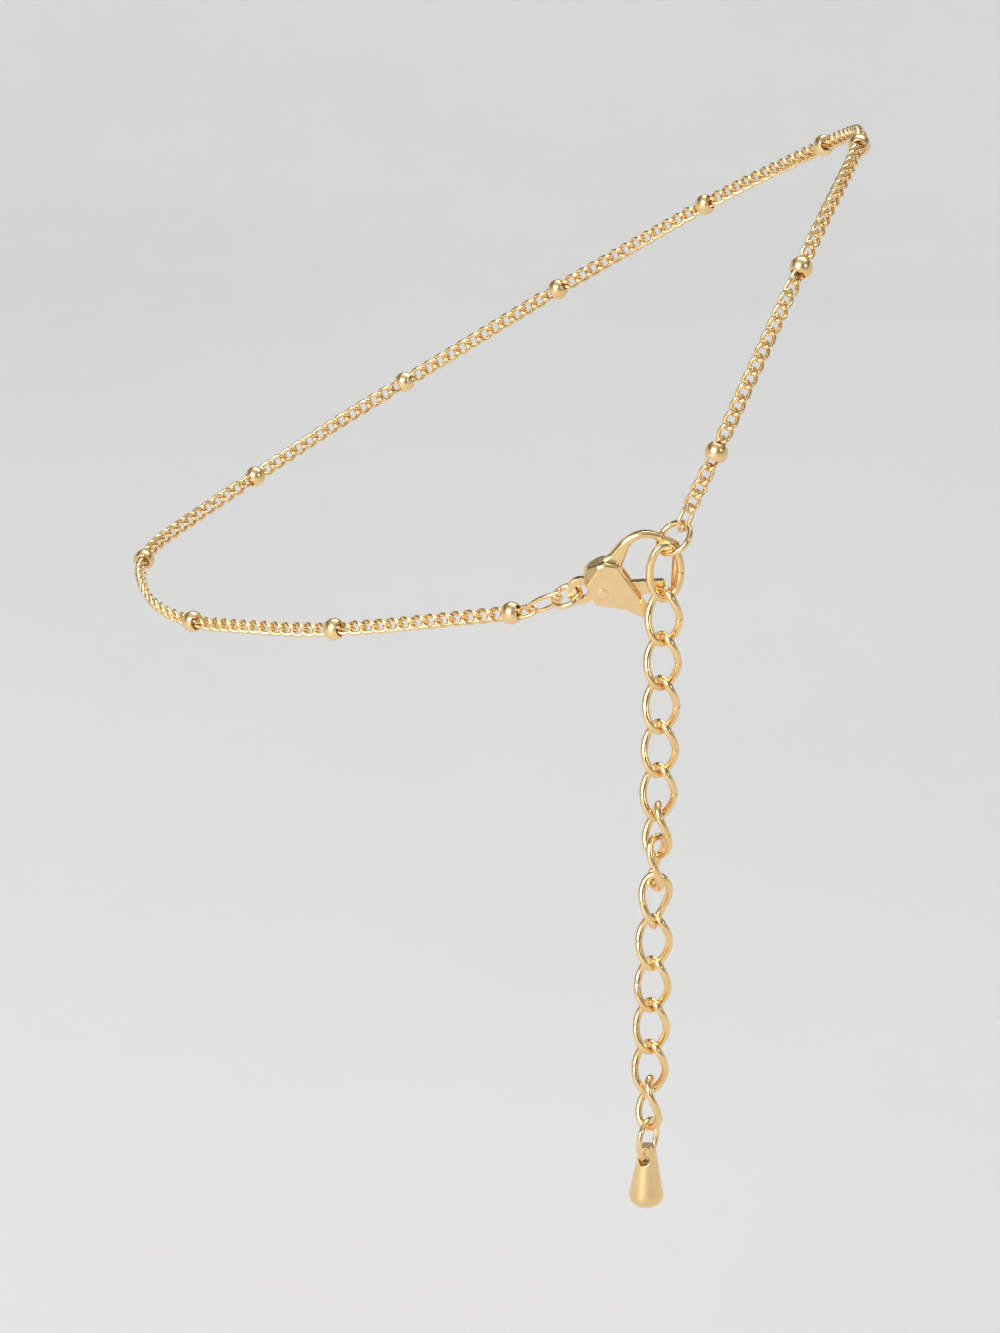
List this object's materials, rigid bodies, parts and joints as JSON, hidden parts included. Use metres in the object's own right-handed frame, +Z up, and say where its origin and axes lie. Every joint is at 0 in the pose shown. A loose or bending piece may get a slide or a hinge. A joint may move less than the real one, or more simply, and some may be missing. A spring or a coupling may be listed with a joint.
{
  "type": "charm anklet",
  "caption": "Fine satellite chain closed round an ankle by a lobster clasp, with a hanging extender chain and a teardrop charm.",
  "frame": {"origin": "centre of the space the ankle fills, inside the closed loop", "axes": "+Z up as worn, +X towards the toes, -Y out of the ankle on the side where the clasp is"},
  "size_m": [0.0714, 0.0611, 0.0964],
  "materials": {
    "chain_gold": "bright gold plate",
    "bead_gold": "polished gold plate",
    "clasp_gold": "polished gold plate",
    "link_gold": "bright gold plate",
    "drop_gold": "polished gold plate"
  },
  "bodies": {
    "anklet": {"fine_chain": "chain_gold", "bead_01": "bead_gold", "bead_02": "bead_gold", "bead_03": "bead_gold", "bead_04": "bead_gold", "bead_05": "bead_gold", "bead_06": "bead_gold", "bead_07": "bead_gold", "bead_08": "bead_gold", "bead_09": "bead_gold", "bead_10": "bead_gold", "bead_11": "bead_gold", "bead_12": "bead_gold", "chain_end_link_back": "chain_gold", "chain_end_link_front": "chain_gold", "clasp_ring": "link_gold", "clasp_body": "clasp_gold", "clasp_pin": "clasp_gold", "end_ring": "link_gold", "extender_link_01": "link_gold", "extender_link_02": "link_gold", "extender_link_03": "link_gold", "extender_link_04": "link_gold", "extender_link_05": "link_gold", "extender_link_06": "link_gold", "extender_link_07": "link_gold", "extender_link_08": "link_gold", "extender_link_09": "link_gold", "extender_link_10": "link_gold", "extender_link_11": "link_gold", "extender_link_12": "link_gold", "extender_link_13": "link_gold", "extender_link_14": "link_gold", "drop_ring": "link_gold", "drop": "drop_gold"},
    "lever": {"clasp_lever": "clasp_gold"}
  },
  "joints": [
    {"name": "clasp_lever", "type": "hinge", "parent": "anklet", "child": "lever", "pos_m": [0.01626, -0.0291, -0.01429], "axis": [0.2101, -0.9703, -0.12], "range_deg": [0, 18], "stiffness_Nm_per_rad": 0.005, "springref_deg": -17.19}
  ]
}
